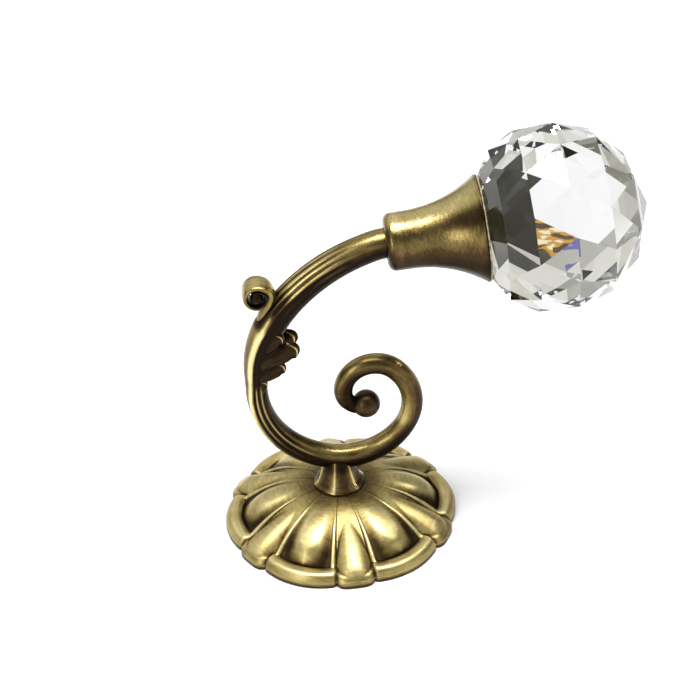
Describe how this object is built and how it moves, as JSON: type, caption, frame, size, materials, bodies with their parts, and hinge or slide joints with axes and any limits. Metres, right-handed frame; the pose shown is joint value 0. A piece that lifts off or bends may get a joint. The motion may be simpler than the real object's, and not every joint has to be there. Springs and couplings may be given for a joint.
{
  "type": "curtain holdback",
  "caption": "Wall-mounted curtain holdback: a lobed rosette, a scrolled arm with an acanthus leaf, and a flared bell holding a faceted glass ball.",
  "frame": {"origin": "centre of the tapped wall hole's mouth, in the plane of the rosette's back face", "axes": "+Z away from the wall along the stem, +X from the stem towards the glass ball, the arm's centre line in the XZ plane"},
  "size_m": [0.1173, 0.0648, 0.1167],
  "materials": {
    "rosette_brass": "antiqued and brushed, dark in the recesses",
    "arm_brass": "antiqued and brushed, dark in the recesses",
    "bell_brass": "antiqued, finely pitted and brushed round",
    "screw_steel": "plain turned steel",
    "glue": "cured clear glue, slightly rough",
    "crystal": "polished cut glass"
  },
  "bodies": {
    "root": {"base_rosette": "rosette_brass", "scroll_arm": "arm_brass", "bell_cup": "bell_brass", "cup_screw": "screw_steel", "adhesive_bead": "glue", "crystal_ball": "crystal"}
  },
  "joints": []
}
